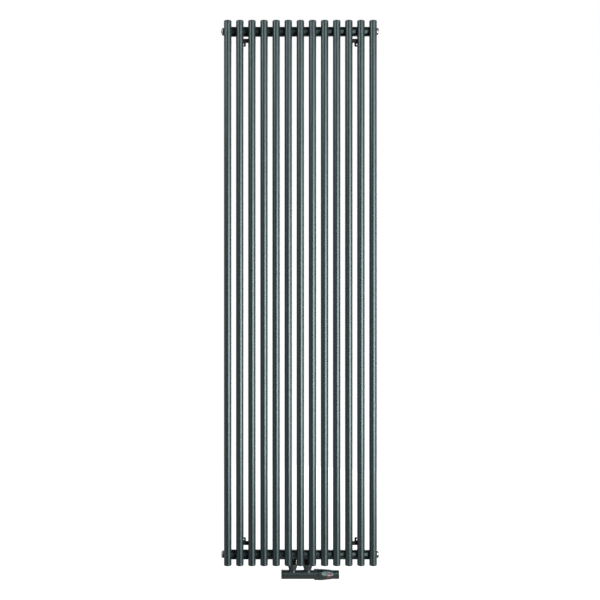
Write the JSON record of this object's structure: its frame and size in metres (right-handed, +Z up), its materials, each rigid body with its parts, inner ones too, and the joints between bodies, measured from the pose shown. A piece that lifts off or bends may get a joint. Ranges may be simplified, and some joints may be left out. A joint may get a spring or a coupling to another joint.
{
  "type": "tube radiator with valve",
  "caption": "Tall vertical steel tube radiator in anthracite, wall hung, with a twin-port valve and a thermostatic head under its middle.",
  "frame": {"origin": "on the wall plane, on the middle tube's line, half way up the tubes", "axes": "+X to the right as seen from the room, +Y into the wall, +Z up"},
  "size_m": [0.5255, 0.098, 1.856],
  "materials": {
    "panel_paint": "semi-gloss powder coat in anthracite",
    "hanger_paint": "satin powder coat, near black",
    "zinc_steel": "zinc plated",
    "nickel": "nickel plated brass",
    "seal_rubber": "matte black rubber",
    "brass": "machined brass",
    "spring_steel": "drawn stainless wire",
    "valve_paint": "semi-gloss coat in anthracite over brass",
    "head_plastic": "satin moulded plastic in anthracite",
    "white_plastic": "moulded white plastic"
  },
  "bodies": {
    "wall_brackets": {"wall_sleeve_top_left": "zinc_steel", "wall_sleeve_top_right": "zinc_steel", "wall_sleeve_bottom_left": "zinc_steel", "wall_sleeve_bottom_right": "zinc_steel", "grub_screw_top_left": "zinc_steel", "grub_screw_top_right": "zinc_steel", "grub_screw_bottom_left": "zinc_steel", "grub_screw_bottom_right": "zinc_steel"},
    "radiator": {"tube_01": "panel_paint", "tube_02": "panel_paint", "tube_03": "panel_paint", "tube_04": "panel_paint", "tube_05": "panel_paint", "tube_06": "panel_paint", "tube_07": "panel_paint", "tube_08": "panel_paint", "tube_09": "panel_paint", "tube_10": "panel_paint", "tube_11": "panel_paint", "tube_12": "panel_paint", "tube_13": "panel_paint", "header_top": "panel_paint", "header_bottom": "panel_paint", "hanger_top_left": "hanger_paint", "hanger_top_right": "hanger_paint", "hanger_bottom_left": "hanger_paint", "hanger_bottom_right": "hanger_paint", "end_plug_top_right": "nickel", "end_plug_bottom_left": "nickel", "end_plug_bottom_right": "nickel", "end_seal_top_left": "seal_rubber", "end_seal_top_right": "seal_rubber", "end_seal_bottom_left": "seal_rubber", "end_seal_bottom_right": "seal_rubber", "vent_body": "nickel", "nipple_left": "nickel", "nipple_right": "nickel", "union_seal_left": "seal_rubber", "union_seal_right": "seal_rubber", "valve_body": "valve_paint", "insert_body": "brass", "insert_gland": "brass", "insert_spring": "spring_steel", "head_carrier": "white_plastic", "lockshield_insert": "brass"},
    "vent_collar": {"vent_collar": "nickel"},
    "vent_screw": {"vent_screw": "nickel"},
    "union_nut_left": {"union_nut_left": "valve_paint"},
    "union_nut_right": {"union_nut_right": "valve_paint"},
    "head_nut": {"head_nut": "head_plastic"},
    "head_handle": {"head_handle": "head_plastic"},
    "sensor_capsule": {"sensor_capsule": "white_plastic"},
    "insert_stem": {"insert_stem": "nickel"},
    "lockshield_spindle": {"lockshield_spindle": "brass"},
    "lockshield_cone": {"lockshield_cone": "brass"},
    "lockshield_cap": {"lockshield_cap": "valve_paint"}
  },
  "joints": [
    {"name": "wall_distance", "type": "slide", "parent": "wall_brackets", "child": "radiator", "axis": [0, -1, 0], "range_m": [-0.006, 0.006]},
    {"name": "bleed_collar_turn", "type": "hinge", "parent": "radiator", "child": "vent_collar", "pos_m": [-0.259, -0.06, 0.87], "axis": [-1, 0, 0], "continuous": true},
    {"name": "bleed_screw_turn", "type": "hinge", "parent": "radiator", "child": "vent_screw", "pos_m": [-0.259, -0.06, 0.87], "axis": [-1, 0, 0], "range_deg": [0, 180]},
    {"name": "union_nut_left_turn", "type": "hinge", "parent": "radiator", "child": "union_nut_left", "pos_m": [-0.025, -0.06, -0.911], "axis": [0, 0, -1], "range_deg": [0, 1080]},
    {"name": "union_nut_right_turn", "type": "hinge", "parent": "radiator", "child": "union_nut_right", "pos_m": [0.025, -0.06, -0.911], "axis": [0, 0, -1], "range_deg": [0, 1080]},
    {"name": "head_nut_turn", "type": "hinge", "parent": "radiator", "child": "head_nut", "pos_m": [0.052, -0.06, -0.9372], "axis": [1, 0, 0], "range_deg": [0, 1800]},
    {"name": "head_handle_turn", "type": "hinge", "parent": "radiator", "child": "head_handle", "pos_m": [0.09, -0.06, -0.9372], "axis": [1, 0, 0], "range_deg": [-150, 150]},
    {"name": "sensor_slide", "type": "slide", "parent": "radiator", "child": "sensor_capsule", "axis": [1, 0, 0], "range_m": [-0.0016, 0.0016]},
    {"name": "insert_stem_slide", "type": "slide", "parent": "radiator", "child": "insert_stem", "axis": [1, 0, 0], "range_m": [-0.0016, 0.0016], "deforming": ["insert_spring"]},
    {"name": "lockshield_spindle_turn", "type": "hinge", "parent": "radiator", "child": "lockshield_spindle", "pos_m": [-0.042, -0.06, -0.9372], "axis": [-1, 0, 0], "range_deg": [-720, 0]},
    {"name": "lockshield_cone_slide", "type": "slide", "parent": "radiator", "child": "lockshield_cone", "axis": [1, 0, 0], "range_m": [0, 0.0041]},
    {"name": "lockshield_cap_pull", "type": "slide", "parent": "radiator", "child": "lockshield_cap", "axis": [-1, 0, 0], "range_m": [0, 0.03]}
  ],
  "couplings": [
    {"joint": "sensor_slide", "follows": "head_handle_turn", "m_per_rad": 0.000573},
    {"joint": "insert_stem_slide", "follows": "head_handle_turn", "m_per_rad": 0.000573},
    {"joint": "lockshield_cone_slide", "follows": "lockshield_spindle_turn", "m_per_rad": -0.000318}
  ]
}
